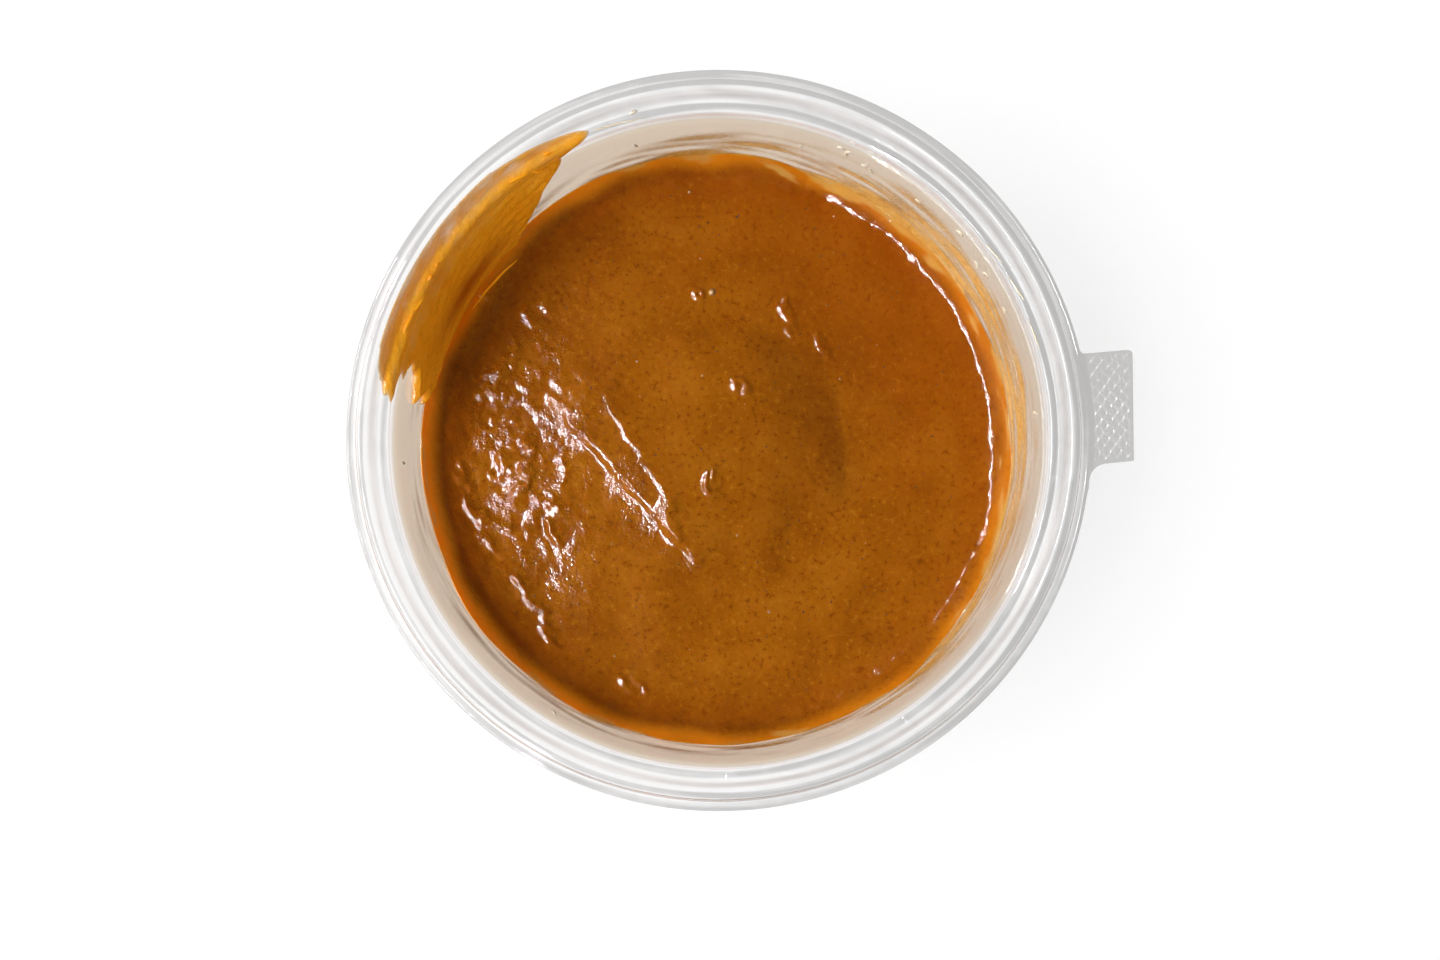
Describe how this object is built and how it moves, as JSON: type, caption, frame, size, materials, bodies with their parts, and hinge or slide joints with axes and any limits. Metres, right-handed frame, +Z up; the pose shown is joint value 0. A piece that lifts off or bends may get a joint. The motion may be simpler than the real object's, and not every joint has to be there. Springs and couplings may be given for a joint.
{
  "type": "almond sauce tub",
  "caption": "Open round clear deli tub with a pull tab, part filled with stirred brown almond sauce that is smeared up one side.",
  "frame": {"origin": "on the tub's axis, in the plane that its foot ring stands on", "axes": "+Z up along the tub's axis, +X towards the pull tab"},
  "size_m": [0.1241, 0.1174, 0.044],
  "materials": {
    "clear_plastic": "clear, glossy, thermoformed",
    "almond_sauce": "wet, slightly translucent brown sauce with fine dark specks"
  },
  "bodies": {
    "root": {"tub": "clear_plastic", "sauce": "almond_sauce", "wall_smear": "almond_sauce"}
  },
  "joints": []
}
